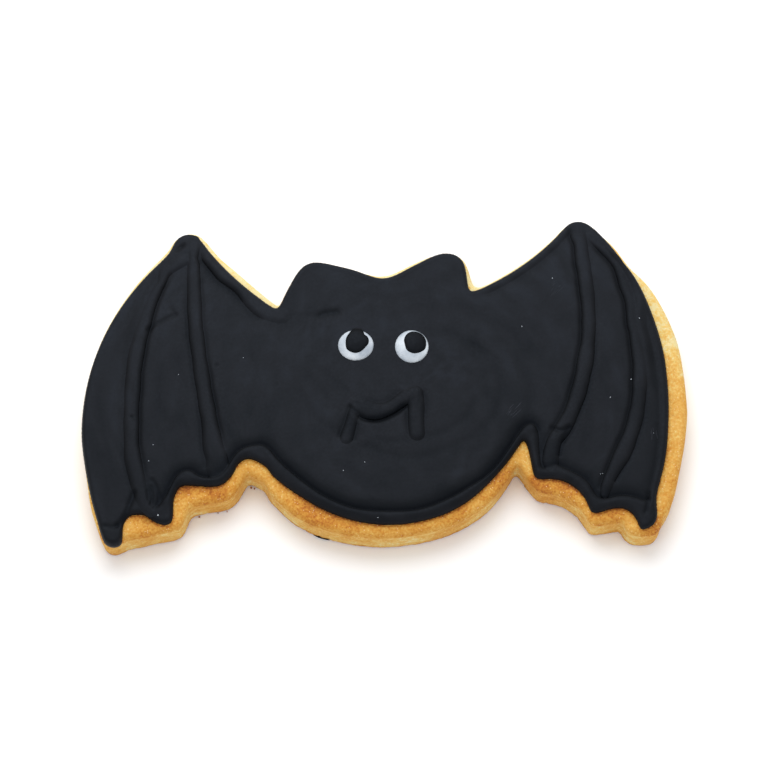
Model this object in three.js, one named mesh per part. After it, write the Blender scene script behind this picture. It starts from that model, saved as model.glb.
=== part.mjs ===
// Shortbread cookie cut as a flying bat, flooded with black icing and finished with hand-piped lines.
// Millimetres, +Z up. The cookie lies flat on its base, wings along X, the bat's head towards +Y.
// The origin is the middle of the footprint, on the surface that the cookie lies on.
import * as THREE from "three";

// ---- Driving dimensions -------------------------------------------------------------------------

const BISCUIT_THICKNESS = 7;
const BISCUIT_TOP_ROUND = 1.5; // the baked upper edge is soft
const BISCUIT_BASE_ROUND = 0.5;

const FLOOD_THICKNESS = 1.2;
const FLOOD_EDGE_FALL = 0.5; // how much the flood sinks towards its edge
const FLOOD_EDGE_WIDTH = 1.3;

const OUTLINE_HEIGHT = 1.9;
const OUTLINE_WIDTH = 1.9; // the piped outline is thin round the head and the sides of the wings
const OUTLINE_WIDTH_HEAVY = 2.6; // and heavy along the edges that face the bat's feet

const RIB_HEIGHT = 1.2;
const MOUTH_HEIGHT = 0.9;
const FULL_BEAD_WIDTH = 2.2; // narrower stretches of a piped line are lower too
const EYE_HEIGHT = 0.8;
const PUPIL_HEIGHT = 0.6;
const EYE_CROWN = [[0, 0], [1, 0], [1, 0.5], [0.96, 0.85], [0.88, 1], [0, 1]];
const PUPIL_CROWN = [[0, 0], [1, 0], [0.95, 0.45], [0.75, 0.82], [0.4, 0.97], [0, 1]];
const GAP = 0.3; // between pieces that lie side by side

const BISCUIT_TOP = BISCUIT_THICKNESS;
const FLOOD_TOP = BISCUIT_TOP + FLOOD_THICKNESS;
const EYE_TOP = FLOOD_TOP + EYE_HEIGHT;

// Faceting
const LONGEST_FACET = 3.6;
const SHORTEST_FACET = 0.1;
const SHARPEST_TURN = THREE.MathUtils.degToRad(20);
const INSET_TOLERANCE = 0.96; // how near its wanted distance an inset point has to come
const SHORTEST_STRIDE = 0.2; // and how much of the loop's own stride it has to keep
const LOBE_BOW = 0.05; // height of the arc that closes a narrow lobe, as a share of its chord
const BEAD_SIDES = 6;
const BEAD_STEP = 1.7;
const BEAD_END = [0.35, 0.8]; // where the rounded end of a bead is sampled, as shares of its half width
const TOP_ROUND_STEPS = 3;
const DOT_SEGMENTS = 28;

// ---- Outlines -----------------------------------------------------------------------------------

// Anchors run anticlockwise: [x, y, corner, bow]. The corner is how far from the anchor the rounding
// starts. The bow is how far the side after the anchor swells out, or hollows where it is negative.
const BISCUIT_ANCHORS = [
  [-51.4, -32.9, 2.4, -0.35], // left wing: foot of the outer edge
  [-37.8, -29.4, 1.3, 0.1],
  [-36.2, -25.1, 1.6, 0.1],
  [-28.4, -23.8, 1.6, 0.1],
  [-25.2, -18.6, 1.7, 0.1], // left notch between wing and body
  [-16.5, -27.8, 3, 3.9], // body
  [15.5, -28.9, 3, 1.0],
  [25.0, -18.3, 1.6, 0.1], // right notch
  [28.7, -24.4, 1.6, -2.0],
  [38.0, -31.1, 1.0, 0.1],
  [43.9, -30.5, 1.0, 0.1],
  [45.2, -33.1, 1.2, 0.1],
  [50.2, -33.4, 2.0, 0.3], // right wing: foot of the outer edge
  [55.6, -21.5, 6, 0.6],
  [58.1, -2.0, 8, 3.9],
  [40.6, 31.2, 1.5, 0.1], // right wing tip
  [37.7, 31.0, 1.3, -1.3],
  [18.7, 17.3, 2.0, 0.1], // neck, right
  [17.0, 24.3, 2.0, 0.2], // right ear
  [12.7, 25.4, 2.2, 0.4],
  [1.5, 20.1, 3.4, 0.3], // dip between the ears
  [-13.5, 24.7, 3.3, 0.3], // left ear
  [-18.9, 14.8, 1.2, -0.5], // neck, left
  [-34.4, 31.0, 1.6, 0.1], // left wing tip
  [-38.3, 30.8, 2.2, 0.1],
  [-40.2, 27.4, 1.6, 6.3],
  [-55.5, -18.5, 7, 0.6],
];

const ICING_ANCHORS = [
  [-51.6, -32.3, 1.5, 0.1], // left wing: drop at the foot of the outer edge
  [-48.5, -32.5, 1.5, 0.1],
  [-48.2, -26.6, 2.3, 0.1],
  [-44.4, -26.5, 1.4, 0.1],
  [-41.8, -28.6, 1.2, 0.1], // second drop
  [-39.2, -28.7, 1.3, 0.1],
  [-38.9, -20.9, 3.0, 0.1],
  [-29.9, -21.7, 2.0, 0.1],
  [-24.9, -15.0, 3.2, 0.5], // left notch
  [-15.3, -24.2, 3, 4.3], // body
  [14.0, -27.1, 3, 0.9],
  [26.6, -13.7, 1.6, -0.2], // right notch
  [27.9, -22.0, 1.6, 0.1],
  [31.3, -21.9, 1.7, -1.6],
  [38.0, -28.8, 0.8, 0.1],
  [40.1, -28.8, 1.2, -2.5],
  [46.9, -32.6, 1.0, 0.1], // right wing: drop at the foot of the outer edge
  [50.1, -31.3, 1.8, 0.1],
  [50.1, -26.2, 2.4, 1.15],
  [54.2, -2.0, 3, 3.5],
  [40.9, 30.7, 1.8, 0.1], // right wing tip
  [37.6, 30.4, 1.4, -1.6],
  [17.6, 16.0, 1.6, 0.1], // neck, right
  [16.8, 23.9, 2.4, 0.1], // right ear
  [12.6, 24.9, 1.8, 0.1],
  [1.3, 19.0, 3.0, 0.5], // dip between the ears
  [-13.5, 24.1, 3.2, 0.4], // left ear
  [-19.2, 13.6, 1.2, -1.1], // neck, left
  [-34.6, 30.0, 1.2, 0.1], // left wing tip
  [-38.0, 30.3, 2.1, 0.1],
  [-40.0, 26.0, 1.6, 6.0],
  [-55.7, -17.5, 7, 0.1],
];

// Piped lines: [x, y, width] along the middle of the bead
const WING_RIBS = {
  wing_rib_left_outer: [
    [-38.6, 23.2, 1.0], [-40.8, 20.6, 1.5], [-42.3, 18.0, 2.0], [-43.6, 14.8, 2.4],
    [-44.9, 10.5, 2.8], [-46.2, 4.0, 2.9], [-46.7, -3, 2.8], [-46.8, -11, 2.7],
    [-46.4, -16.5, 2.9], [-44.9, -21.3, 3.1],
  ],
  wing_rib_left_inner: [
    [-35.2, 24.2, 2.2], [-35.1, 18, 2.7], [-34.8, 10.5, 2.8], [-34.1, 4, 2.8],
    [-33.3, -2, 2.9], [-32.3, -8.5, 3.0], [-31.7, -12.6, 3.6], [-31.2, -15.6, 3.3],
  ],
  wing_rib_right_inner: [
    [39.4, 25.4, 2.4], [39.9, 20, 2.8], [40.2, 13, 2.7], [39.9, 7, 2.6], [38.9, 1, 3.0],
    [37.2, -5.2, 2.9], [35.0, -10.4, 2.7], [33.3, -13.4, 2.9], [32.2, -16.4, 2.8],
  ],
  wing_rib_right_outer: [
    [46.5, 16.5, 0.9], [47.5, 12.8, 1.6], [48.4, 8.6, 2.2], [49.0, 4, 2.6], [49.0, -2, 2.7],
    [47.9, -9.4, 2.7], [46.2, -14.4, 2.8], [43.9, -19, 2.8], [42.0, -22.3, 2.2],
  ],
};

const MOUTH_LINES = {
  mouth_smile: [[-3.2, -7.7, 2.5], [-1.2, -8.4, 2.9], [1.4, -7.7, 2.9], [3.5, -6.2, 2.5]],
  fang_left: [[-5.3, -6.4, 1.9], [-5.8, -9.8, 2.2], [-6.8, -13.5, 2.4]],
  fang_right: [[6.6, -4.0, 2.6], [6.6, -8.4, 3.0], [6.4, -12.9, 2.8]],
};

// Eyes: [x, y, width, length], and each pupil
const EYES = {
  left: { white: [-4.4, 5.6, 7.0, 6.5], pupil: [-4.2, 6.1, 4.0, 4.3] },
  right: { white: [6.2, 5.0, 6.6, 6.9], pupil: [6.9, 5.5, 4.0, 4.1] },
};

// ---- Materials ----------------------------------------------------------------------------------

const BISCUIT = new THREE.MeshStandardMaterial({ color: 0xd9a45e, roughness: 0.85, metalness: 0 });
const BLACK_ICING = new THREE.MeshStandardMaterial({ color: 0x27292e, roughness: 0.6, metalness: 0 });
const WHITE_ICING = new THREE.MeshStandardMaterial({ color: 0xe4e9f2, roughness: 0.4, metalness: 0 });

// ---- Shape helpers ------------------------------------------------------------------------------

const wrap = (index, count) => (index + count) % count;

// One side of an outline, a shallow parabola from a to b that stands out by bow at its middle.
function side([ax, ay, , bow], [bx, by]) {
  const a = new THREE.Vector2(ax, ay);
  const b = new THREE.Vector2(bx, by);
  const outward = new THREE.Vector2(by - ay, ax - bx).normalize();
  const control = a.clone().add(b).multiplyScalar(0.5).addScaledVector(outward, 2 * bow);
  const curve = new THREE.QuadraticBezierCurve(a, control, b);
  return { curve, length: curve.getLength(), turn: (8 * Math.abs(bow)) / a.distanceTo(b) };
}

// The closed outline through the anchors, as points close enough together to look round.
function outline(anchors) {
  const count = anchors.length;
  const sides = anchors.map((anchor, i) => side(anchor, anchors[wrap(i + 1, count)]));
  const points = [];
  anchors.forEach(([x, y, corner], i) => {
    const before = sides[wrap(i - 1, count)];
    const after = sides[i];
    const nextCorner = anchors[wrap(i + 1, count)][2];
    const start = before.curve.getPoint(1 - corner / before.length);
    const end = after.curve.getPoint(corner / after.length);
    const anchor = new THREE.Vector2(x, y);
    const turn = Math.abs(anchor.clone().sub(start).angleTo(end.clone().sub(anchor)));
    const cornerSteps = Math.max(2, Math.ceil(turn / SHARPEST_TURN));
    const rounding = new THREE.QuadraticBezierCurve(start, anchor, end);
    for (let k = 0; k < cornerSteps; k += 1) {
      points.push(rounding.getPoint(k / cornerSteps));
    }
    const from = corner / after.length;
    const to = 1 - nextCorner / after.length;
    const rest = (to - from) * after.length; // what the two roundings leave of the side
    const wanted = Math.max(1, Math.ceil(rest / LONGEST_FACET), Math.ceil(after.turn / SHARPEST_TURN));
    const sideSteps = rest < SHORTEST_FACET ? 0 : wanted;
    for (let k = 0; k < sideSteps; k += 1) {
      points.push(after.curve.getPoint(from + ((to - from) * k) / sideSteps));
    }
  });
  return points;
}

function distanceToLoop(point, loop) {
  const nearest = new THREE.Vector3();
  const target = new THREE.Vector3(point.x, point.y, 0);
  const edge = new THREE.Line3();
  return Math.min(...loop.map((a, i) => {
    const b = loop[wrap(i + 1, loop.length)];
    edge.start.set(a.x, a.y, 0);
    edge.end.set(b.x, b.y, 0);
    return edge.closestPointToPoint(target, true, nearest).distanceTo(target);
  }));
}

// The loop moved inwards by distanceAt(direction of the loop). Where a narrow lobe leaves no room,
// its points share a shallow arc between their neighbours, so the number of points stays the same.
function inset(loop, distanceAt) {
  const count = loop.length;
  const strideAt = (points, i) => points[wrap(i + 1, count)].clone().sub(points[wrap(i - 1, count)]);
  const directions = loop.map((point, i) => strideAt(loop, i).normalize());
  const distances = directions.map(distanceAt);
  const moved = loop.map((point, i) => {
    const inward = new THREE.Vector2(-directions[i].y, directions[i].x);
    return point.clone().addScaledVector(inward, distances[i]);
  });
  const fits = moved.map((point, i) => {
    const stride = strideAt(loop, i);
    const isForward = strideAt(moved, i).dot(stride) > SHORTEST_STRIDE * stride.lengthSq();
    return isForward && distanceToLoop(point, loop) > INSET_TOLERANCE * distances[i];
  });
  return moved.map((point, i) => {
    if (fits[i]) return point;
    let back = 1;
    let ahead = 1;
    while (!fits[wrap(i - back, count)]) back += 1;
    while (!fits[wrap(i + ahead, count)]) ahead += 1;
    const from = moved[wrap(i - back, count)];
    const to = moved[wrap(i + ahead, count)];
    const share = back / (back + ahead);
    const outward = new THREE.Vector2(to.y - from.y, from.x - to.x);
    return from.clone().lerp(to, share).addScaledVector(outward, LOBE_BOW * 4 * share * (1 - share));
  });
}

// Rings of points joined into a closed body. Each profile entry [share, z] is a ring that lies that
// share of the way from the outer loop to the inner one. A hoop joins its last ring to its first,
// any other body is closed by a flat face at each end.
function loft(outer, inner, profile, isHoop) {
  const count = outer.length;
  const positions = [];
  const faces = [];
  profile.forEach(([share, z]) => {
    outer.forEach((point, i) => {
      const placed = point.clone().lerp(inner[i], share);
      positions.push(placed.x, placed.y, z);
    });
  });
  const strips = isHoop ? profile.length : profile.length - 1;
  for (let ring = 0; ring < strips; ring += 1) {
    const low = ring * count;
    const high = ((ring + 1) % profile.length) * count;
    for (let i = 0; i < count; i += 1) {
      const j = wrap(i + 1, count);
      faces.push(low + i, low + j, high + j, low + i, high + j, high + i);
    }
  }
  if (!isHoop) {
    const ringPoints = (ring) => outer.map((point, i) => point.clone().lerp(inner[i], profile[ring][0]));
    const top = profile.length - 1;
    THREE.ShapeUtils.triangulateShape(ringPoints(0), []).forEach(([a, b, c]) => faces.push(a, c, b));
    THREE.ShapeUtils.triangulateShape(ringPoints(top), []).forEach((face) => {
      faces.push(...face.map((corner) => top * count + corner));
    });
  }
  return solid(positions, faces);
}

function solid(positions, faces) {
  const geometry = new THREE.BufferGeometry();
  geometry.setAttribute("position", new THREE.Float32BufferAttribute(positions, 3));
  geometry.setIndex(faces);
  geometry.computeVertexNormals();
  return geometry;
}

// A half-round bead of piped icing, flat underneath, that follows anchors [x, y, width] along its
// middle and rounds off at both ends. A thin stretch is lower in proportion.
function bead(anchors, base, height) {
  const path = new THREE.CatmullRomCurve3(anchors.map(([x, y]) => new THREE.Vector3(x, y, base)));
  const widths = new THREE.CatmullRomCurve3(anchors.map(([, , width]) => new THREE.Vector3(width)));
  const steps = Math.ceil(path.getLength() / BEAD_STEP);
  const stations = Array.from({ length: steps + 1 }, (_, k) => {
    const share = path.getUtoTmapping(k / steps);
    return { point: path.getPoint(share), along: path.getTangent(share), width: widths.getPoint(share).x };
  });
  const roundedEnd = (station, direction) => BEAD_END.map((reach) => ({
    point: station.point.clone().addScaledVector(station.along, (direction * reach * station.width) / 2),
    along: station.along,
    width: station.width * Math.sqrt(1 - reach * reach),
  }));
  const first = stations[0];
  const last = stations[steps];
  const sections = [...roundedEnd(first, -1).reverse(), ...stations, ...roundedEnd(last, 1)];
  const positions = [];
  sections.forEach(({ point, along, width }) => {
    const rise = height * Math.min(1, width / FULL_BEAD_WIDTH);
    for (let k = 0; k <= BEAD_SIDES; k += 1) {
      const angle = (Math.PI * k) / BEAD_SIDES;
      const across = (width / 2) * Math.cos(angle);
      positions.push(point.x + along.y * across, point.y - along.x * across, base + rise * Math.sin(angle));
    }
  });
  const tips = [[first, -1], [last, 1]].map(([station, direction]) => {
    const tip = station.point.clone().addScaledVector(station.along, (direction * station.width) / 2);
    positions.push(tip.x, tip.y, base);
    return positions.length / 3 - 1;
  });
  const ring = BEAD_SIDES + 1;
  const lastRing = (sections.length - 1) * ring;
  const faces = [];
  for (let k = 0; k < ring; k += 1) {
    const m = (k + 1) % ring;
    for (let near = 0; near < lastRing; near += ring) {
      const far = near + ring;
      faces.push(near + k, far + m, near + m, near + k, far + k, far + m);
    }
    faces.push(tips[0], k, m, tips[1], lastRing + m, lastRing + k);
  }
  return solid(positions, faces);
}

// A round dot of icing, [x, y, width, length], turned from a crown of [radius share, height share].
function dot([x, y, width, length], base, height, crown) {
  const profile = crown.map(([radius, rise]) => new THREE.Vector2(radius, rise * height));
  const geometry = new THREE.LatheGeometry(profile, DOT_SEGMENTS);
  geometry.rotateX(Math.PI / 2);
  geometry.scale(width / 2, length / 2, 1);
  geometry.translate(x, y, base);
  return geometry;
}

// ---- Sub-parts ----------------------------------------------------------------------------------

function biscuit() {
  const outer = outline(BISCUIT_ANCHORS);
  const inner = inset(outer, () => BISCUIT_TOP_ROUND);
  const rounding = Array.from({ length: TOP_ROUND_STEPS + 1 }, (_, k) => {
    const angle = (Math.PI / 2) * (k / TOP_ROUND_STEPS);
    const drop = BISCUIT_TOP_ROUND * (1 - Math.sin(angle));
    return [1 - Math.cos(angle), BISCUIT_TOP - drop];
  });
  const foot = [[BISCUIT_BASE_ROUND / BISCUIT_TOP_ROUND, 0], [0, BISCUIT_BASE_ROUND]];
  return loft(outer, inner, [...foot, ...rounding], false);
}

// Width of the piped outline where its edge runs along this direction, anticlockwise
function outlineWidth(along) {
  const facesFeet = THREE.MathUtils.smoothstep(along.x, 0, 0.7);
  return THREE.MathUtils.lerp(OUTLINE_WIDTH, OUTLINE_WIDTH_HEAVY, facesFeet);
}

function icingOutline(edge) {
  const inner = inset(edge, outlineWidth);
  const section = Array.from({ length: BEAD_SIDES + 1 }, (_, k) => {
    const angle = (Math.PI * k) / BEAD_SIDES;
    return [(1 - Math.cos(angle)) / 2, BISCUIT_TOP + OUTLINE_HEIGHT * Math.sin(angle)];
  });
  return loft(edge, inner, section, true);
}

function icingFlood(edge) {
  const outer = inset(inset(edge, outlineWidth), () => GAP);
  const inner = inset(outer, () => FLOOD_EDGE_WIDTH);
  const profile = [
    [0, BISCUIT_TOP],
    [0, FLOOD_TOP - FLOOD_EDGE_FALL],
    [0.4, FLOOD_TOP - FLOOD_EDGE_FALL * 0.3],
    [1, FLOOD_TOP],
  ];
  return loft(outer, inner, profile, false);
}

// ---- Assembly -----------------------------------------------------------------------------------

const cookie = new THREE.Group();

function add(name, geometry, material) {
  const mesh = new THREE.Mesh(geometry, material.clone());
  mesh.name = name;
  cookie.add(mesh);
}

const icingEdge = outline(ICING_ANCHORS);
add("biscuit", biscuit(), BISCUIT);
add("icing_flood", icingFlood(icingEdge), BLACK_ICING);
add("icing_outline", icingOutline(icingEdge), BLACK_ICING);
for (const [name, anchors] of Object.entries(WING_RIBS)) {
  add(name, bead(anchors, FLOOD_TOP, RIB_HEIGHT), BLACK_ICING);
}
for (const [name, anchors] of Object.entries(MOUTH_LINES)) {
  add(name, bead(anchors, FLOOD_TOP, MOUTH_HEIGHT), BLACK_ICING);
}
for (const [name, { white, pupil }] of Object.entries(EYES)) {
  add(`eye_${name}`, dot(white, FLOOD_TOP, EYE_HEIGHT, EYE_CROWN), WHITE_ICING);
  add(`pupil_${name}`, dot(pupil, EYE_TOP, PUPIL_HEIGHT, PUPIL_CROWN), BLACK_ICING);
}

const footprint = new THREE.Box3().setFromObject(cookie).getCenter(new THREE.Vector3());
cookie.position.set(-footprint.x, -footprint.y, 0);

export default cookie;
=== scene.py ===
"""Looks of an iced shortbread cookie cut as a flying bat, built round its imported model.

Lengths are in millimetres until a mesh is made, and +Y points towards the bat's head.
"""

import math
import random
from collections import namedtuple

import bmesh
import bpy
import numpy as np
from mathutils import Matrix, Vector, kdtree, noise
from mathutils.bvhtree import BVHTree
from mathutils.geometry import delaunay_2d_cdt


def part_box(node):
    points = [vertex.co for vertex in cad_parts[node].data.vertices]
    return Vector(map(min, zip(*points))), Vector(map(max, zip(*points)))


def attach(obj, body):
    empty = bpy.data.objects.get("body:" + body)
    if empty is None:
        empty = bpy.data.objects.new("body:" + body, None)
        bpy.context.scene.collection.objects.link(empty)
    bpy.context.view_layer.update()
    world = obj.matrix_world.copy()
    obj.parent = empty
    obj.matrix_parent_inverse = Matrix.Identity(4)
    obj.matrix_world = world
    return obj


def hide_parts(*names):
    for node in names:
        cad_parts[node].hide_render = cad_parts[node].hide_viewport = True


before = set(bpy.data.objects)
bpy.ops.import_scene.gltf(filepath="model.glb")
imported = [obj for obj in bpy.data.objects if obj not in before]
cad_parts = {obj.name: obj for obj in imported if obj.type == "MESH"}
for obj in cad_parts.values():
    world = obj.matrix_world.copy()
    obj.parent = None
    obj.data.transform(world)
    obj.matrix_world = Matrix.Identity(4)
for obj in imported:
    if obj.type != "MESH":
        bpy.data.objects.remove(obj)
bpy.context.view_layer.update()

MM = 0.001
SEED = 11

# ---- Sizes ----

BISCUIT_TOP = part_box("biscuit")[1].z / MM
FLOOD_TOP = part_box("icing_flood")[1].z / MM
PIPING_CENTRE = np.array((-0.70, 1.09))  # where the piping's own coordinates start

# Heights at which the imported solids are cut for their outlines.
BISCUIT_CUT = 5.49
ICING_CUT = 7.005
PIPING_CUT = FLOOD_TOP + 0.01

TOP_ROUND = 1.5
BASE_ROUND = 0.3
WALL_SWELL = 0.2  # makes up for what the crumb takes off the wall
WALL_STEP = 0.3
UNDERSIDE_BROWN = 0.45
OUTLINE_STEP = 0.22
TREE_STEP = 0.08
SHORTEST_SIDE = 0.06  # of a CAD outline

FLOOD_LEVEL = FLOOD_TOP - 0.12
BEAD_DEPTH = 0.35  # how far a bead is sunk into the icing that it lies on
BEAD_FULLNESS = 2.6  # 2 would be round
EDGE_STEP = 0.22
EDGE_DROP = 0.8  # how far down the biscuit's rounded edge the icing goes at most
RIM_RISE = 0.38
VALLEY_DEPTH = 0.26
VALLEY_WIDTH = 1.7
CREASE_DEPTH = 0.36
CREASE_WIDTH = 0.3
SIDE_CREASE = (-0.58, 0.42)  # depth and width beside a bead
SIDE_FILLET = (1, 1.1)
EYE_RISE = 0.98
EYE_ROUND = 1.6
EYE_DEEPEST = 3.2  # from an eye's edge to its middle
EYE_SLIMMER = 0.13  # how far an eye's edge is in from its node's
PUPIL_RISE = 0.52
PUPIL_ROUND = 0.6
PUPIL_FULLER = 0.14
PUPIL_TONE = 0.22
PLAIN_TONE = 0.5
FILLET = 0.16

# Where an outline is fuller or slimmer than its node's, as (x, y, radius, amount).
BISCUIT_PUSHES = [
    (49.2, 21.6, 4, -0.75), (56, -18.3, 7, -0.28), (-30.2, 25.4, 3, -0.25),
    (-22.3, -20.9, 1.7, -0.7), (-47.6, -31.9, 2.2, -0.35), (51.8, -30.9, 1.8, -0.4),
]
ICING_PUSHES = [
    (47.5, 22.2, 2.6, -0.3), (52.6, 9.4, 6, -0.16), (52.3, -19, 6, 0.2), (-56.1, -7.7, 8, 0.03),
    (-4, 21.4, 4, 0.22), (-26.4, -17.8, 1.3, -0.35), (-21.8, -18.1, 1.5, -0.38),
    (-24.3, -16.8, 0.8, 0.18), (-38.5, -22.5, 1.1, 0.25), (-47.9, -27.5, 1.1, 0.22),
]

# ---- Camera, light and floor ----

CAMERA_AIM = (*PIPING_CENTRE, 4)
CAMERA_AZIMUTH = -1.8
CAMERA_ELEVATION = 68
CAMERA_DISTANCE = 420
CAMERA_LENS = 104.45

KEY_PLACE = (-20, 168, 243)
KEY_SIZE = 290
KEY_POWER = 0.66
KEY_COLOUR = (0.98, 0.99, 1.0)
SKY_POWER = 0.88
FLOOR_REACH = 8000
FLOOR_LEVEL = -0.03
FLOOR_COLOUR = (0.96, 0.96, 0.965, 1)

# ---- Lines and outlines ----


def lengths(vectors):
    return np.linalg.norm(vectors, axis=1)


def unit(vectors):
    return vectors / lengths(vectors)[:, None]


def left_of(vectors):
    return np.column_stack([-vectors[:, 1], vectors[:, 0]])


def flat(places, height):
    return np.full(len(places), height)


def raised(places, height):
    """The places with a height each, or one for all."""
    return np.column_stack([places, np.zeros(len(places)) + height])


def piped(points):
    return np.array(points) + PIPING_CENTRE


def closed(loop):
    return np.vstack([loop, loop[:1]])


def steps(loop):
    """From each point of a closed loop to the next."""
    return np.roll(loop, -1, axis=0) - loop


def chords(loop):
    """From the point before each one of a closed loop to the point after it."""
    return np.roll(loop, -1, axis=0) - np.roll(loop, 1, axis=0)


def along(line):
    """Distance along a line to each of its points."""
    return np.concatenate([[0], np.cumsum(lengths(np.diff(line, axis=0)))])


def picked(places, stops, line):
    """The places on a line, where its points lie at the stops."""
    return np.column_stack([np.interp(places, stops, line[:, i]) for i in (0, 1)])


def evened(loop, rounds):
    for _ in range(rounds):
        loop = (np.roll(loop, 1, axis=0) + 2 * loop + np.roll(loop, -1, axis=0)) / 4
    return loop


def tree_of(points):
    tree = kdtree.KDTree(len(points))
    for i, (x, y) in enumerate(points):
        tree.insert((x, y, 0), i)
    tree.balance()
    return tree


def nearest(tree, places):
    """The nearest point to each place, its index and its distance."""
    return [tree.find((x, y, 0)) for x, y in places]


def section(node, height):
    """Closed outlines where a plane at this height cuts a CAD node, the longest first."""
    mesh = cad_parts[node].data
    mesh.calc_loop_triangles()
    corners = [tuple(round(c / MM, 4) for c in vertex.co) for vertex in mesh.vertices]
    links = {}
    for triangle in mesh.loop_triangles:
        ring = [corners[i] for i in triangle.vertices]
        cut = []
        for pair in zip(ring, ring[1:] + ring[:1]):
            low, high = sorted(pair, key=lambda corner: corner[2])
            if low[2] < height <= high[2]:
                share = (height - low[2]) / (high[2] - low[2])
                cut.append(tuple(round(a + (b - a) * share, 4) for a, b in zip(low[:2], high)))
        if len(set(cut)) == 2:
            for here, there in (cut, cut[::-1]):
                links.setdefault(here, []).append(there)
    loops = []
    while links:
        point = next(iter(links))
        loop = []
        while point in links:
            loop.append(point)
            point = next((other for other in links.pop(point) if other in links), None)
        loops.append(np.array(loop))
    return sorted(loops, key=lambda loop: -along(closed(loop))[-1])


def resample(loop, spacing):
    stops = along(closed(loop))
    count = round(stops[-1] / spacing)
    return picked(np.arange(count) * stops[-1] / count, stops, closed(loop))


def rounded(loop, spacing):
    """A smooth anticlockwise curve through a faceted outline's corners, evenly spaced."""
    corners = loop[lengths(steps(loop)) > SHORTEST_SIDE]
    onward = steps(corners)
    if np.sum(corners[:, 0] * onward[:, 1] - corners[:, 1] * onward[:, 0]) < 0:
        corners = corners[::-1]
        onward = steps(corners)
    after = lengths(onward)[:, None]
    before = np.roll(after, 1, axis=0)
    slope = onward / after
    tangent = (np.roll(slope, 1, axis=0) * after + slope * before) / (after + before)
    curve = []
    ends = zip(corners, np.roll(corners, -1, 0), after, tangent, np.roll(tangent, -1, 0))
    for a, b, size, start, end in ends:
        t = np.linspace(0, 1, max(2, int(size[0] / TREE_STEP)), endpoint=False)[:, None]
        curve.append(
            (2 * t**3 - 3 * t**2 + 1) * a + (t**3 - 2 * t**2 + t) * size * start
            + (3 * t**2 - 2 * t**3) * b + (t**3 - t**2) * size * end
        )
    return resample(np.vstack(curve), spacing)


def smooth_line(points, spacing=TREE_STEP):
    """An open smooth curve through the points, evenly spaced."""
    points = np.asarray(points, dtype=float)
    if len(points) > 2:
        ends = [2 * points[0] - points[1], *points, 2 * points[-1] - points[-2]]
        t = np.linspace(0, 1, 12, endpoint=False)[:, None]
        curve = [
            0.5 * (2 * b + (c - a) * t + (2 * a - 5 * b + 4 * c - d) * t**2
                   + (3 * b - a - 3 * c + d) * t**3)
            for a, b, c, d in zip(ends, ends[1:], ends[2:], ends[3:])
        ]
        points = np.vstack([*curve, points[-1:]])
    stops = along(points)
    places = np.linspace(0, stops[-1], max(2, round(stops[-1] / spacing) + 1))
    return picked(places, stops, points)


class Outline:
    """A closed anticlockwise curve, with the distance from it to any place."""

    def __init__(self, points):
        self.points = points
        self.tree = tree_of(resample(points, TREE_STEP))

    def distance(self, places):
        return np.array([gap for *_, gap in nearest(self.tree, places)])

    def facing(self, places):
        """Directions to places from the nearest points of the curve."""
        away = places - np.array([point[:2] for point, *_ in nearest(self.tree, places)])
        return away / np.maximum(lengths(away), 1e-6)[:, None]

    def contains(self, places):
        """Which places lie inside, from the count of edges to the right of each."""
        a = self.points
        b = np.roll(a, -1, axis=0)
        rise = np.where(b[:, 1] == a[:, 1], 1, b[:, 1] - a[:, 1])
        found = []
        for start in range(0, len(places), 2000):
            x, y = (places[start : start + 2000, i : i + 1] for i in (0, 1))
            spans = (a[:, 1] > y) != (b[:, 1] > y)
            crossing = a[:, 0] + (y - a[:, 1]) * (b[:, 0] - a[:, 0]) / rise
            found.append(np.count_nonzero(spans & (x < crossing), axis=1) % 2 == 1)
        return np.concatenate(found)

    def depth(self, places):
        """Distance in from the curve, negative outside it."""
        return np.where(self.contains(places), 1, -1) * self.distance(places)

    def moved_in(self, amount):
        """The curve moved in, or out where negative, without the points that cross it."""
        moved = self.points + amount * left_of(unit(chords(self.points)))
        return moved[self.distance(moved) > abs(amount) * 0.97]

    def grid(self, spacing):
        """An even triangular grid over the curve's box."""
        (left, low), (right, high) = self.points.min(axis=0), self.points.max(axis=0)
        columns = np.arange(left, right, spacing)
        rows = enumerate(np.arange(low, high, spacing * math.sqrt(3) / 2))
        return np.array([(x + spacing / 2 * (j % 2), y) for j, y in rows for x in columns])


def slimmed(loop, spacing, amount):
    """A faceted outline, rounded and then moved in, or out where negative."""
    return Outline(Outline(rounded(loop, spacing)).moved_in(amount))


def closed_normals(points):
    """Outward directions of an anticlockwise loop, evened out a little."""
    return -left_of(unit(evened(chords(points), 4)))


def patches(places, spots):
    """The sum of soft round patches, each (x, y, radius, amount)."""
    total = np.zeros(len(places))
    for x, y, radius, amount in spots:
        total += amount * bell(lengths(places[:, :2] - piped([(x, y)])) / radius)
    return total


def eased_out(points, pushes):
    """The loop, moved outward by an amount that fades with distance from each push."""
    return points + closed_normals(points) * patches(points, pushes)[:, None]


# ---- Profiles ----


def bell(share):
    """1 at 0, and next to nothing from 2 on."""
    return np.exp(-(share**2))


def quarter(share):
    """A quarter circle's rise, from 0 to 1 as share goes from 0 to 1."""
    return np.sqrt(np.clip(1 - (1 - np.clip(share, 0, 1)) ** 2, 0, 1))


def ease(share):
    share = np.clip(share, 0, 1)
    return share * share * (3 - 2 * share)


def crown(depth, round_over, deepest):
    """A blob's height, from 0 to 1: a rounded edge, and then a slow rise to its middle."""
    return 0.72 * quarter(depth / round_over) + 0.28 * ease(depth / deepest)


def blended(a, b):
    """The higher of two heights, with a fillet where they meet."""
    share = np.clip(0.5 + 0.5 * (a - b) / FILLET, 0, 1)
    return b + (a - b) * share + FILLET * share * (1 - share)


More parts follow.
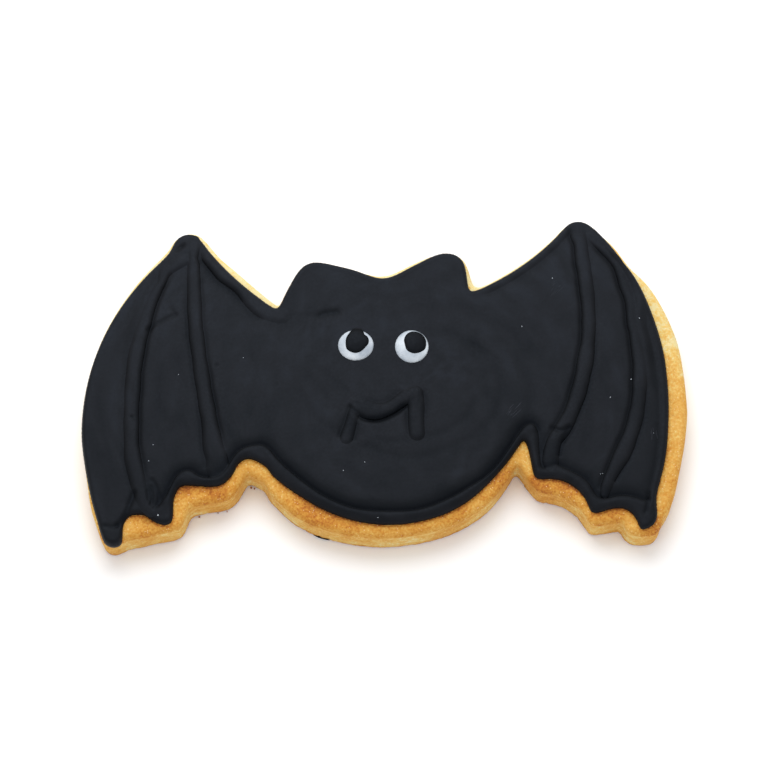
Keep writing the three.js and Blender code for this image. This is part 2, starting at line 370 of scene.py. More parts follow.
def biscuit_height(depth):
    """Height of the biscuit at a distance in from its edge."""
    return BISCUIT_TOP - TOP_ROUND * (1 - quarter(depth / TOP_ROUND))


def icing_foot(depth):
    """Height of what the icing's outer edge lies on."""
    return np.maximum(biscuit_height(depth), BISCUIT_TOP - EDGE_DROP)


def clouds(places, size, octaves=3, seed=0):
    """Smooth noise from about -1 to 1, with features of this size."""
    offset = Vector((seed * 17.3, seed * 5.1, seed * 9.7))
    solid = places if places.shape[1] == 3 else raised(places, 0)
    return np.array([noise.fractal(Vector(p) / size + offset, 1.0, 2.0, octaves) for p in solid])


# ---- Surfaces ----


def neighbours(start, count):
    """Pairs of points next to each other round a loop, numbered from start on."""
    return [(start + i, start + (i + 1) % count) for i in range(count)]


def tube(count, total):
    """Quads between rings of this many points each."""
    starts = range(0, total - count, count)
    return [(a, b, b + count, a + count) for start in starts for a, b in neighbours(start, count)]


def fill(outlines, extra):
    """Triangles inside the first outline and outside the rest, whose points come first."""
    points = np.vstack([*[outline.points for outline in outlines], *extra])
    edges = []
    for outline in outlines:
        edges += neighbours(len(edges), len(outline.points))
    inside = 1
    result = delaunay_2d_cdt([Vector(point) for point in points], edges, [], inside, 1e-7)
    source = [origins[0] for origins in result[3]]
    triangles = np.array([[source[i] for i in face] for face in result[2]])
    for hole in outlines[1:]:
        triangles = triangles[~hole.contains(points[triangles].mean(axis=1))]
    return points, triangles


def scattered(outlines, spacing, rows):
    """Points between outlines: rows close beside each, and an even grid elsewhere."""
    outer = outlines[0]
    groups = [
        (outline, outline.moved_in(row if outline is outer else -row), row)
        for outline in outlines for row in rows
    ]
    groups.append((None, outer.grid(spacing), max([0, *rows]) + spacing * 0.5))
    clear = []
    for own, group, keep_off in groups:
        group = group[outer.contains(group)]
        for outline in outlines:
            if outline is not outer:
                group = group[~outline.contains(group)]
            if outline is not own:
                group = group[outline.distance(group) > keep_off]
        clear.append(group)
    return clear


def add_object(name, data):
    made = bpy.data.objects.new(name, data)
    bpy.context.scene.collection.objects.link(made)
    return made


def make_object(name, vertices, faces, material):
    mesh = bpy.data.meshes.new(name)
    mesh.from_pydata([tuple(c * MM for c in vertex) for vertex in vertices], [], faces)
    mesh.validate()
    mesh.materials.append(material)
    mesh.shade_smooth()
    return add_object(name, mesh)


def paint(piece, name, values):
    """One value for each vertex, or for all, which the piece's material reads."""
    layer = piece.data.attributes.new(name, "FLOAT", "POINT")
    values = np.zeros(len(piece.data.vertices)) + values
    layer.data.foreach_set("value", values.astype(np.float32))


def relaxed(heights, triangles, fixed, rounds):
    """Heights evened out between neighbours, except for the first ones, which stay."""
    pairs = triangles[:, [0, 1, 1, 2, 2, 0]].reshape(-1, 2)
    counts = np.bincount(pairs.ravel(), minlength=len(heights))
    for _ in range(rounds):
        sums = np.zeros(len(heights))
        for here, there in (pairs.T, pairs.T[::-1]):
            sums += np.bincount(here, weights=heights[there], minlength=len(heights))
        even = sums / np.maximum(counts, 1)
        even[:fixed] = heights[:fixed]
        heights = 0.5 * heights + 0.5 * even
    return heights


def cover(name, outlines, spacing, rows, rounds, material, top_at, floor_at, tone_at=None):
    """A closed body between outlines, with a shaped top."""
    points, triangles = fill(outlines, scattered(outlines, spacing, rows))
    edge_count = sum(len(outline.points) for outline in outlines)
    heights = relaxed(top_at(points), triangles, edge_count, rounds)
    edge, bottom = fill(outlines, [])
    vertices = [*raised(points, heights), *raised(edge, floor_at(edge))]
    below = len(points)
    faces = [*map(tuple, triangles), *(tuple(below + face[::-1]) for face in bottom)]
    start = 0
    for outline in outlines:
        pairs = neighbours(start, len(outline.points))
        quads = [(a, below + a, below + b, b) for a, b in pairs]
        faces += quads if outline is outlines[0] else [quad[::-1] for quad in quads]
        start += len(quads)
    piece = make_object(name, vertices, faces, material)
    if tone_at:
        paint(piece, "tone", [*tone_at(points), *flat(edge, 0.35)])
    return piece


def domed(name, outline, spacing, rows, material, base_at, rise, round_over, drop, tone_at=None):
    """A low blob over an outline, with a rounded edge, lying on base_at."""
    deepest = outline.depth(outline.grid(0.2)).max()

    def top_at(places):
        depth = np.maximum(outline.depth(places), 0)
        return base_at(places) + rise * crown(depth, round_over, deepest)

    def floor_at(places):
        return base_at(places) - drop

    return cover(name, [outline], spacing, rows, 2, material, top_at, floor_at, tone_at)


# ---- Icing ----

# The inner foot of the edge bead, in stretches. Points are from the piping's centre.
RIM_UPPER_LEFT = [
    (-33.8, 24.6), (-32.7, 23.1), (-31.6, 21.6), (-30.5, 20.1), (-29.4, 19.2), (-28, 18.1),
    (-26.7, 16.7),
]
RIM_NECK_LEFT = [
    (-26.7, 16.7), (-25.6, 14.9), (-23.7, 12.7), (-21.8, 11.4), (-19.6, 10.6), (-17.7, 10.5),
    (-16.6, 11.4), (-16.4, 13),
]
RIM_SCALLOPS = [
    (-40.4, -23.5), (-40, -22.5), (-39.2, -20.8), (-38.6, -19.6), (-37.7, -18.8), (-36.8, -18.4),
    (-35.8, -18.4), (-35.1, -18.8), (-34.3, -19.5), (-33.2, -19.9), (-32, -20), (-30.7, -19.7),
    (-29.5, -18.6), (-28.6, -17.2), (-27.7, -15.8), (-26.8, -14.8), (-25.8, -14.2), (-24.6, -13.9),
    (-23.2, -13.7), (-22.3, -13.8), (-21.1, -14.6), (-20.2, -15.8), (-19, -17.3), (-17.8, -18.6),
]
RIM_BODY = [
    (-17.8, -18.6), (-15.2, -21), (-12.4, -23.3), (-9.7, -25), (-6.7, -26.4), (-3.6, -27.2),
    (0.1, -27.5), (2.8, -27.6), (5.1, -27.5), (7.8, -27), (10.5, -26), (13.3, -24.7), (16, -23.1),
    (18.7, -21.5), (21.1, -19.2), (22.8, -16.9), (24.3, -14.8),
]
RIM_NOTCH_RIGHT = [(24.3, -14.8), (25.5, -13), (26.5, -11.7), (27.6, -11.1), (28.6, -11.4)]
RIM_HOOK_RIGHT = [(28.6, -11.4), (29.2, -13.1), (29.2, -15.3), (29.2, -17.8), (29.4, -19.4)]
RIM_SHELF = [
    (32.8, -19.7), (34.2, -20.4), (35.6, -21.2), (37, -22.1), (37.9, -23.1), (38.5, -24.1),
    (39, -25.3), (39.9, -26.2), (41.1, -26.3), (42.7, -25.9), (44.4, -25.8), (46, -26.1),
    (47.8, -26.8), (48.6, -27),
]
RIM_RIGHT = [
    (50, 12.1), (51.2, 6.5), (52, 0.7), (52.2, -5.2), (51.7, -13.3), (50.9, -18.3), (50.2, -21.5),
    (49.3, -24.5), (48.6, -27),
]
RIM_TIP_RIGHT = [
    (35.8, 27.9), (33.6, 24.4), (30.9, 21.7), (26.2, 19), (22.3, 16.9), (18.7, 15.4),
]
GROOVE_LINES = [
    RIM_UPPER_LEFT + RIM_NECK_LEFT[1:],
    RIM_SCALLOPS + RIM_BODY[1:] + RIM_NOTCH_RIGHT[1:] + RIM_HOOK_RIGHT[1:],
    RIM_SHELF,
    RIM_RIGHT,
]

# How sharply the bead stands out from the flat icing along its inner edge, from 0 to 1.
RIM_STRENGTHS = [
    (RIM_UPPER_LEFT[1:], 0.75), (RIM_NECK_LEFT[:3], 0.45), (RIM_NECK_LEFT[2:-2], 0.16),
    (RIM_SCALLOPS, 0.85), (RIM_BODY, 1), (RIM_NOTCH_RIGHT, 0.9), (RIM_HOOK_RIGHT, 0.55),
    (RIM_SHELF, 0.7), (RIM_RIGHT[1:5], 0.2), (RIM_RIGHT[4:], 0.32), (RIM_TIP_RIGHT[:5], 0.22),
]
RIM_REST = 0.03
RIM_REACH = 2.2

# Outlines of the pupils. The left one's neck runs back onto the black above the eye.
PUPILS = {
    "left": [
        (-5.1, 8.5), (-5.6, 7.7), (-6, 7), (-6.2, 5.8), (-6, 4.6), (-5.4, 4.15), (-4.6, 3.85),
        (-3.6, 4.1), (-2.7, 4.9), (-2.05, 5.95), (-2.25, 7), (-2.8, 7.5), (-3, 8.3), (-3.3, 9),
        (-4.1, 9.3), (-4.8, 9.1),
    ],
    "right": [
        (5.4, 7.2), (4.9, 6.2), (5, 5.1), (5.3, 4.1), (5.9, 3.6), (6.9, 3.4), (7.8, 3.7),
        (8.5, 4.2), (8.8, 5.2), (8.6, 6.6), (7.8, 7.5), (6.7, 7.8), (5.9, 7.6),
    ],
}

# Creases that the piping left, as (points, depth, width).
CREASES = [
    ([(-46.2, -22.7), (-46.6, -23.9), (-47.1, -25.3), (-47.6, -26.6), (-48.4, -28),
      (-49.2, -28.9)], 0.34, 0.5),
    ([(-49.2, -28.9), (-50.2, -29.2), (-51.5, -28.9)], 0.2, 0.4),
    ([(48.8, -26.9), (48, -29.3)], 0.26, 0.35),
    ([(-43.8, 10), (-42.8, 10.9), (-41.3, 11.7), (-40, 12.4), (-38.6, 13)], 0.22, 0.4),
    ([(-39.5, 14.4), (-38.9, 13.4)], 0.12, 0.4),
    ([(-40.2, 15.9), (-39.1, 17.2), (-37.5, 18.6)], 0.08, 0.5),
    ([(-38.4, 26.5), (-37.7, 27.1), (-37, 27.7)], 0.22, 0.35),
    ([(17.9, 5), (19.6, 4), (21.9, 2.1)], 0.07, 0.5),
    ([(-17.1, 12), (-14.3, 12.1), (-11.4, 11.7)], 0.05, 0.5),
    ([(-11, 12.1), (-9.4, 12.5), (-7.9, 12.6)], 0.26, 0.7),
    ([(-42.9, -20.2), (-42.3, -21.2), (-41.8, -22.5), (-41.6, -23.6), (-41.9, -25.1),
      (-42.3, -25.7)], 0.22, 0.36),
    ([(-42.9, -21.6), (-42.8, -23.8), (-43, -25)], 0.2, 0.34),
    ([(-43.6, -22.4), (-43.5, -24)], 0.14, 0.34),
    ([(31.8, -12.2), (33, -12.9), (34, -12.8), (35, -12.2)], 0.24, 0.42),
    ([(34.9, -12.6), (34.2, -13.8), (33.6, -15)], 0.22, 0.5),
    ([(4.3, -7.2), (2.3, -8.9), (-0.5, -9.9), (-3.1, -9.6)], 0.12, 0.5),
    ([(-5.9, -6.8), (-5.2, -7.7), (-4.4, -8.4), (-3.6, -9)], 0.16, 0.4),
]

# Long faint swirls in the flat icing, left by spreading it, in the same way.
SWIRLS = [
    ([(-14.5, 0.9), (-11.7, -2.6), (-9, -6.7)], 0.07, 0.7),
    ([(-15.2, -3.5), (-12.1, -8.6), (-7.9, -12.1)], 0.09, 0.8),
    ([(-10.7, 0.8), (-8.2, -1.7), (-5.2, -4.8)], 0.06, 0.7),
    ([(12.9, 7.6), (17.3, 5.4), (20.9, 1.8), (22.6, -2.3), (22, -7.7), (18.9, -12.3),
      (13.2, -15.4), (6.9, -17.2), (1.3, -16.7), (-2.9, -14.6)], 0.1, 1),
    ([(23.6, 5.2), (26.5, 0.3), (28.4, -5.2), (27.1, -10.5), (24.5, -13.1)], 0.1, 1),
    ([(17.7, -6.2), (15.9, -9.5), (12.1, -12.1), (7.7, -13.6)], 0.09, 0.8),
    ([(-4.1, -12.2), (0.2, -14), (4.5, -13.8)], 0.07, 0.7),
    ([(-41.5, 2.4), (-41.8, -4.4), (-40.5, -8.4)], 0.1, 1),
    ([(-38.4, 3.7), (-36.8, -1.8), (-37.4, -7.2), (-39.6, -10.5)], 0.1, 1.2),
    ([(-24.2, 3.9), (-23.6, -2.2), (-24.6, -7.6)], 0.1, 1),
    ([(-6, 17), (2, 15.2), (10, 16.4)], 0.06, 0.9),
    ([(8, 13.5), (17, 12), (25, 8), (30, 2)], 0.07, 1.2),
]

# Soft patches of painted shade round creases and the feet of the ribs, and the icing's small pits,
# as (x, y, radius, amount).
SHADE_PATCHES = [
    (32.2, -16, 2, 0.3), (33.4, -12.6, 1.6, 0.2), (-9.2, 12.3, 1.4, 0.25), (-12, 12, 1.2, 0.12),
    (-42.6, -21.5, 1.8, 0.22), (-43.4, -17.5, 1.6, 0.14), (41.3, -24.5, 1.4, 0.22),
    (-30.8, -17.5, 1.8, 0.16), (-46, -24.5, 1.5, 0.16),
]
PITS = [
    (-37.4, 27.3, 0.35, 0.12), (-30.8, 2.35, 0.3, 0.18), (-46.8, -7.8, 0.35, 0.15),
    (-19.5, -2, 0.25, 0.07), (12, 3, 0.2, 0.05), (-27, 12.4, 0.2, 0.06),
]

# Faint streaks circle a point between the smile and the right wing.
STREAK_CENTRE = (7, -3)
STREAK_LENGTH = 4
STREAK_WIDTH = 2.6

# Places where the flat icing is fuller, as (points, height, width).
FILLS = [
    ([(46.4, 23.2), (48.1, 20.9), (50.3, 16.5), (51.2, 11), (51.7, 7), (51.9, 3)], 0.38, 1.5),
    ([(-36.6, 28), (-35, 27.8)], 0.3, 1.2),
    ([(38.2, 28.6), (41, 28)], 0.3, 1.2),
]
FILL_STOPS = [(0, 1), (0.5, 1), (1, 0.1)]

# Piped lines: their rise above the flat icing, their points as (x, y, half width, share of the
# rise), the stretch of the node's middle line that is kept between the upper points and the lower
# ones, as (upper y, lower y), and the (place along it, amount) of creases and fillets by side.
# Side 0 is the right one seen from the front, or the lower one of the smile.
Piping = namedtuple("Piping", "rise upper creases keep lower fillets", defaults=(None, (), {}))
PIPED_LINES = {
    "wing_rib_left_outer": Piping(
        rise=0.42,
        keep=(20.5, -17.5),
        upper=[
            (-35.9, 25, 1.3, 0.6), (-37.6, 24.3, 1.4, 0.9), (-39.2, 23.3, 1.35, 0.95),
            (-40.7, 22, 1.35, 1),
        ],
        lower=[
            (-45.6, -20, 1.55, 0.9), (-45, -22.5, 1.4, 0.7), (-44.2, -24.9, 1.35, 0.5),
            (-43, -26.5, 1, 0.15),
        ],
        creases={
            0: [(0.08, 0.1), (0.14, 0.5), (0.75, 0.5), (0.88, 0.15), (0.95, 0)],
            1: [(0.3, 0), (0.45, 0.18), (0.75, 0.18), (0.88, 0.34), (0.94, 0)],
        },
        fillets={1: [(0, 0.25), (0.35, 0.25), (0.5, 0)]},
    ),
    "wing_rib_left_inner": Piping(
        rise=0.46,
        keep=(25, -12),
        upper=[(-35.2, 28.4, 1.2, 0.3), (-35.2, 26.8, 1.25, 0.75)],
        lower=[
            (-31.5, -14.2, 1.9, 0.9), (-30.9, -16.4, 2.1, 0.75), (-30.8, -18.2, 2.1, 0.45),
            (-30.7, -19.3, 1.7, 0.15),
        ],
        creases={
            0: [(0.08, 0), (0.18, 0.25), (0.45, 0.3), (0.65, 0.5), (0.82, 0.5), (0.9, 0.1)],
            1: [(0.12, 0), (0.22, 0.2), (0.35, 0.4), (0.6, 0.34), (0.88, 0.34), (0.97, 0.2)],
        },
    ),
    "wing_rib_right_inner": Piping(
        rise=0.46,
        keep=(23.5, -11),
        upper=[(39.2, 28.6, 1.5, 0.3), (39.3, 27.2, 1.55, 0.7), (39.6, 25.5, 1.4, 0.95)],
        lower=[
            (33.6, -12.7, 1.5, 1), (32.1, -14.8, 1.45, 0.8), (31.35, -17.2, 1.45, 0.65),
            (31.1, -19.1, 1.45, 0.4), (31, -20.2, 1, 0.1),
        ],
        creases={
            0: [(0.03, 0), (0.1, 0.1), (0.35, 0.14), (0.5, 0.36), (0.95, 0.5)],
            1: [(0, 0.3), (0.06, 0.5), (0.65, 0.5), (0.78, 0.3), (0.95, 0.2)],
        },
    ),
    "wing_rib_right_outer": Piping(
        rise=0.42,
        keep=(9.5, -19),
        upper=[
            (41.6, 26.8, 0.8, 0.3), (43.9, 24.3, 0.9, 0.7), (46.4, 20.8, 1.05, 0.9),
            (47.7, 16.4, 1.25, 1), (48.5, 13, 1.3, 1),
        ],
        lower=[(42.2, -21.9, 1.15, 0.9), (41.1, -24.3, 1.05, 0.7), (40.7, -25.7, 0.8, 0.3)],
        creases={
            0: [(0.56, 0), (0.66, 0.34), (0.95, 0.4)],
            1: [(0, 0), (0.05, 0.5), (0.9, 0.5), (0.98, 0.3)],
        },
        fillets={0: [(0, 0.3), (0.1, 0.42), (0.46, 0.42), (0.6, 0)]},
    ),
    "mouth_smile": Piping(
        rise=0.3,
        upper=[
            (6.6, -4.4, 1.4, 0.95), (4.9, -5.05, 1.4, 1), (3.1, -6.25, 1.3, 1),
            (1.3, -7.35, 1.35, 1), (-0.9, -7.8, 1.65, 1), (-2.8, -7.3, 1.9, 0.95),
            (-4.1, -6.6, 1.85, 0.85), (-4.6, -6.3, 1.6, 0.7),
        ],
        creases={
            0: [(0.08, 0), (0.2, 0.8), (0.72, 0.95), (0.9, 0.4)],
            1: [(0.2, 0.1), (0.5, 0.14), (0.9, 0.06)],
        },
    ),
    "fang_left": Piping(
        rise=0.26,
        upper=[
            (-4.9, -7, 0.9, 0.7), (-5.35, -8.6, 1.05, 0.95), (-5.9, -10.6, 1.2, 1),
            (-6.7, -13.1, 1.25, 1.05),
        ],
        creases={0: [(0.38, 0), (0.5, 0.34), (1, 0.44)], 1: [(0, 0.2), (0.3, 0.3), (1, 0.4)]},
    ),
    "fang_right": Piping(
        rise=0.3,
        upper=[
            (6.65, -4.4, 1.42, 0.95), (6.6, -7, 1.5, 1), (6.45, -10, 1.5, 1),
            (6.5, -12.6, 1.48, 0.95),
        ],
        creases={
            0: [(0, 0.2), (0.3, 0.26), (1, 0.2)],
            1: [(0.3, 0), (0.42, 0.4), (0.9, 0.3), (1, 0.2)],
        },
    ),
}


def closeness(places, line, width, stops=((0, 1), (1, 1))):
    """1 on a line, and next to nothing a few widths off it. Stops are (place along it, amount)."""
    line = smooth_line(line, width / 3)
    amounts = np.interp(np.linspace(0, 1, len(line)), *zip(*stops), left=0, right=0)
    reach = width * 2.6
    low, high = line.min(axis=0) - reach, line.max(axis=0) + reach
    near = np.all((places > low) & (places < high), axis=1)
    close = np.zeros(len(places))
    close[near] = [
        amounts[i] * math.exp(-((gap / width) ** 2))
        for _, i, gap in nearest(tree_of(line), places[near])
    ]
    return close


def strokes(places, lines, widened=1, **how):
    """The sum of soft lines, each (points, amount, width)."""
    total = np.zeros(len(places))
    for line, amount, width in lines:
        total += amount * closeness(places, piped(line), width * widened, **how)
    return total


def rim_strength(places):
    strength = flat(places, RIM_REST)
    for line, amount in RIM_STRENGTHS:
        near = np.minimum(1, 1.3 * closeness(places, piped(line), RIM_REACH))
        strength = np.maximum(strength, amount * near)
    return strength


def marks(places):
    """Height of the small marks that cross the icing, which are all below its surface."""
    return -strokes(places, CREASES) - patches(places, PITS)


def streaks(places):
    """Long soft streaks that circle the face, from about -1 to 1."""
    arms = places - piped([STREAK_CENTRE])
    turn = np.arctan2(arms[:, 1], arms[:, 0])
    reach = lengths(arms) + 2.2 * clouds(places, 14, 2, seed=42)
    round_it = STREAK_LENGTH * np.array([np.cos(turn), np.sin(turn)])
    rings = np.column_stack([*round_it, reach / STREAK_WIDTH])
    return clouds(rings, 1, 4, seed=41) * np.clip(0.7 + clouds(places, 11, 2, seed=43), 0, 1.4)


def rerouted(loop, lines):
    """The loop, with its nearest stretch to each line replaced by the line."""
    for line in lines:
        line = smooth_line(piped(line), OUTLINE_STEP)
        first, last = (np.argmin(lengths(loop - end)) for end in (line[0], line[-1]))
        if (last - first) % len(loop) > len(loop) / 2:
            line, first, last = line[::-1], last, first
        gap = (last - first) % len(loop)
        loop = np.vstack([line, np.roll(loop, -first, axis=0)[gap + 1 :]])
    return evened(resample(loop, OUTLINE_STEP), 6)


class Bead:
    """A piped line with a half width and a height at each point of its middle line."""

    def __init__(self, middle, half, rise):
        self.middle = smooth_line(middle)
        self.tree = tree_of(self.middle)
        stops = along(middle)
        places = np.linspace(0, 1, len(self.middle))
        self.half, self.rise = (np.interp(places, stops / stops[-1], row) for row in (half, rise))

    def sides(self, spacing=OUTLINE_STEP):
        step = max(1, round(spacing / TREE_STEP))
        across = left_of(unit(np.gradient(self.middle, axis=0))) * self.half[:, None]
        return (self.middle + across)[::step], (self.middle - across)[::step]

    def outline(self, spacing):
        """The edge of all the circles along the line."""
        left, right = self.sides(TREE_STEP)
        turns = np.linspace(0, math.pi, 14)[1:-1, None]
        caps = []
        for centre, side in ((self.middle[-1], left[-1]), (self.middle[0], right[0])):
            arm = side - centre
            turned = np.array([arm[1], -arm[0]])
            caps.append(centre + np.cos(turns) * arm + np.sin(turns) * turned)
        loop = np.vstack([left, caps[0], right[::-1], caps[1]])
        gaps = np.linalg.norm(loop[:, None] - self.middle[None], axis=2)
        loop = loop[np.all(gaps > self.half * 0.985 - 0.005, axis=1)][::-1]
        return Outline(resample(evened(resample(loop, spacing), 3), spacing))

    def top(self, places):
        found = nearest(self.tree, places)
        index = np.array([i for _, i, _ in found])
        gaps = np.array([gap for *_, gap in found])
        share = np.clip(gaps / np.maximum(self.half[index], 0.05), 0, 1)
        return self.rise[index] * np.sqrt(1 - share**BEAD_FULLNESS)


def middle_of(node, spacing=0.1, count=40):
    """A long node's middle line from its upper end, and its half width at each point."""
    loop = rounded(section(node, PIPING_CUT)[0], spacing)
    gaps = np.linalg.norm(loop[:, None] - loop[None], axis=2)
    a, b = np.unravel_index(np.argmax(gaps), gaps.shape)
    if loop[a, 1] < loop[b, 1]:
        a, b = b, a
    turned = closed(np.roll(loop, -a, axis=0))
    split = (b - a) % len(loop)
    sides = []
    for side in (turned[: split + 1], turned[split:][::-1]):
        side = smooth_line(side, spacing)
        sides.append(picked(np.linspace(0, 1, count), np.linspace(0, 1, len(side)), side))
    return (sides[0] + sides[1]) / 2, lengths(sides[0] - sides[1]) / 2


def bead_for(node, spec):
    """A piped node's bead, carried on past its ends to where it runs into its neighbours."""
    line = np.array(spec.upper)
    if spec.keep:
        middle, half = middle_of(node)
        kept = np.column_stack([middle - PIPING_CENTRE, half, flat(half, 1)])
        kept = kept[(kept[:, 1] < spec.keep[0]) & (kept[:, 1] > spec.keep[1])]
        line = np.vstack([line, kept, spec.lower])
    phase = random.Random(node).uniform(0, 10)
    stops = along(line[:, :2])
    uneven = 1 + 0.035 * np.sin(stops * 0.9 + phase) + 0.02 * np.sin(stops * 2.1 + 2 * phase)
    bead = Bead(piped(line[:, :2]), line[:, 2] * uneven * 1.04, line[:, 3])
    ripple = 1 + 0.05 * np.sin(np.arange(len(bead.rise)) * TREE_STEP * 0.35 + phase)
    bead.rise = (BEAD_DEPTH + spec.rise * bead.rise) * ripple
    return bead


class Icing:
    """The surface of the flat icing, from which all the other icing takes its level."""

    def __init__(self, biscuit, outer, groove, beads):
        self.biscuit = biscuit
        self.outer = outer
        self.groove = groove
        self.side_lines = []
        for node, spec in PIPED_LINES.items():
            sides = beads[node].sides()
            for chosen, shape in ((spec.creases, SIDE_CREASE), (spec.fillets, SIDE_FILLET)):
                self.side_lines += [(sides[i], stops, *shape) for i, stops in chosen.items()]

    def base(self, places):
        """Height without the valley beside the edge bead."""
        waves = 0.045 * clouds(places, 16, 2, seed=1) + 0.018 * clouds(places, 5, 2, seed=2)
        height = FLOOD_LEVEL + waves - 0.7 * strokes(places, SWIRLS)
        for line, stops, rise, width in self.side_lines:
            height += rise * closeness(places, line, width, stops)
        return height + strokes(places, FILLS, stops=FILL_STOPS)

    def valley(self, places, strength):
        gap = self.groove.distance(places)
        crease = CREASE_DEPTH * np.exp(-gap / CREASE_WIDTH)
        return strength * (VALLEY_DEPTH * bell(gap / VALLEY_WIDTH) + crease)

    def level(self, places):
        return self.base(places) - self.valley(places, rim_strength(places)) + marks(places)

    def rim(self, places):
        """Height of the bead between the outer edge and the groove."""
        from_edge = self.outer.distance(places)
        from_groove = self.groove.distance(places)
        strength = rim_strength(places)
        foot = icing_foot(self.biscuit.depth(places)) + EDGE_STEP
        base = self.base(places)
        crest = base + 0.03 + strength * (RIM_RISE + 0.08 * clouds(places, 4, 2, seed=3))
        outer_drop = (crest - foot) * (1 - quarter(from_edge / (0.8 + 0.45 * strength)))
        sunk = crest - base + self.valley(places, strength) + 0.03
        crisp = 1 - quarter(from_groove / 0.85)
        soft = 1 - ease(from_groove / 1.3)
        inner_drop = sunk * (strength * crisp + (1 - strength) * soft)
        return np.maximum(crest - outer_drop - inner_drop + marks(places), foot)

    def surface(self, places):
        """Height of the flat icing, and of its edge bead outside the groove."""
        height = self.level(places)
        outside = ~self.groove.contains(places)
        if outside.any():
            height[outside] = np.maximum(height[outside], self.rim(places[outside]))
        return height

    def tone(self, places):
        """How pale the icing is: below PLAIN_TONE in painted shade of creases and the groove, above
        it in painted sheen and streaks of bloom.
        """
        # Painted shade in the creases, swirls, pits and the patches round them, and beside the
        # beads.
        painted_shade = 1.8 * (strokes(places, CREASES, 1.2) + strokes(places, SWIRLS))
        painted_shade += 3 * patches(places, PITS) + patches(places, SHADE_PATCHES)
        for line, stops, rise, width in self.side_lines:
            if rise < 0:
                painted_shade += 1.15 * closeness(places, line, width * 1.6, stops)
        # Painted shade along the groove, and down the flat icing's slope into it.
        gap = self.groove.distance(places)
        slope = self.groove.contains(places) * 0.5 * bell(gap / 2.3)
        painted_shade += rim_strength(places) * (0.72 * bell(gap / 0.85) + slope)
        # The rise with y is painted sheen, paler towards the head; the bloom is the icing's own
        # streaks.
        bloom = 0.14 * streaks(places) + 0.05 * clouds(places, 3.5, 3, seed=44)
        return np.clip(PLAIN_TONE - 0.5 * painted_shade + 0.0022 * places[:, 1] + bloom, 0, 1)


# ---- Biscuit ----

WALL_TOP = BISCUIT_TOP - TOP_ROUND
FOOT_ROWS = (0, 0.04, 0.1, 0.19)  # heights of the lowest rows of points in the wall
BISCUIT_ROWS = (0.03, 0.1, 0.22, 0.4, 0.62, 0.88, 1.16, 1.45)  # how far in each row on top is
HIDDEN = 1.5  # how far in from the icing's edge the biscuit has coarser triangles

# Browner patches of the biscuit, as (x, y, radius, amount), from the piping's centre.
BROWNED = [
    (-30.5, -22.6, 3.2, 0.26), (-36.5, -21.6, 2.4, 0.16), (-45.5, -27.6, 2.4, 0.12),
    (-9, -29.5, 7, 0.08), (12.5, -28.2, 5.5, 0.16), (30, -22.8, 3.2, 0.3), (35, -24, 2.4, 0.14),
    (43.5, -28.6, 3, 0.16), (50, -32, 2.8, 0.28), (23, -21, 3, 0.12), (-24, -15.5, 3.4, -0.2),
    (27.5, -13.5, 2.6, -0.12), (57, 1, 6, -0.12), (-50.3, -32, 1.8, 0.3), (-14.5, -26, 4, 0.14),
]
# Paler patches of its top edge alone: painted light, towards the back where light from behind falls
# on it.
BACKLIT_EDGES = [(-25, 21, 9, 0.45), (5, 21, 12, 0.4), (28, 24, 9, 0.4), (-45, 18, 9, 0.3)]


def crumb(places, seed):
    """How far a sandy broken surface lies below its skin."""
    lumps = 0.08 * (1 + clouds(places, 2.6, 2, seed=seed))
    sand = 0.05 * (1 + clouds(places, 0.75, 2, seed=seed + 1))
    holes = 0.6 * np.clip(clouds(places, 1.1, 2, seed=seed + 2) - 0.36, 0, 0.4)
    return lumps + sand + holes


def bake_and_light_colour(places, top, icing_edge):
    """How browned the biscuit is, 0 to 1, with painted shade and light. Top is the slice of its
    upper surface.
    """
    height = places[:, 2]
    upper = np.clip((height - 2.5) / 3.0, 0, 1) * 0.12
    foot = np.exp(-height / 0.32)
    layers = 0.14 * clouds(places * (1, 1, 6), 4, 3, seed=23)
    bake_and_light = 0.14 + upper + foot + layers
    # On the top, 0.33 is its own browning; the darker band along the front of the icing's edge,
    # deepest right at it, is painted shade.
    gap = icing_edge.distance(places[top, :2])
    front = np.clip(-icing_edge.facing(places[top, :2])[:, 1], 0, 1)
    bake_and_light[top] = 0.33 + (0.09 + 0.14 * np.exp(-gap / 1.1) + 0.55 * bell(gap / 0.26)) * front
    bake_and_light += 0.18 * clouds(places, 9, 3, seed=21) + 0.10 * clouds(places, 2.2, 3, seed=22)
    # Painted light: the top edge is paler towards the back and in the listed patches, where light
    # from behind falls on it; it is also paler at the far left.
    pale = 0.26 * ease((places[:, 1] + 9) / 24) + 0.3 * np.clip((-50.0 - places[:, 0]) / 5, 0, 1)
    pale += patches(places, BACKLIT_EDGES)
    rim_share = ease((height - 1.5) / 5.0)
    back_wall = 0.10 * ease(places[:, 1] / 12) * (1 - rim_share)
    bake_and_light += patches(places, BROWNED) - pale * rim_share + back_wall
    return np.clip(bake_and_light, 0, 1)


def wall_row(skin, outward, height):
    """The wall's outline at one height, with crumb, layers and a ragged foot."""
    inset = BASE_ROUND * (1 - quarter(height / BASE_ROUND))
    ring = skin - outward * inset
    places = raised(ring, height)
    layers = 0.09 * (1 + clouds(places * (1, 1, 7), 5, 3, seed=9))
    ragged = 0.10 * (1 + clouds(places, 1.7, 3, seed=10)) * math.exp(-height / 0.4)
    fade = min(1, (WALL_TOP - height) / 0.8)
    sunk = (crumb(places, 4) + layers - WALL_SWELL) * fade + ragged
    return raised(ring - outward * sunk[:, None], height)


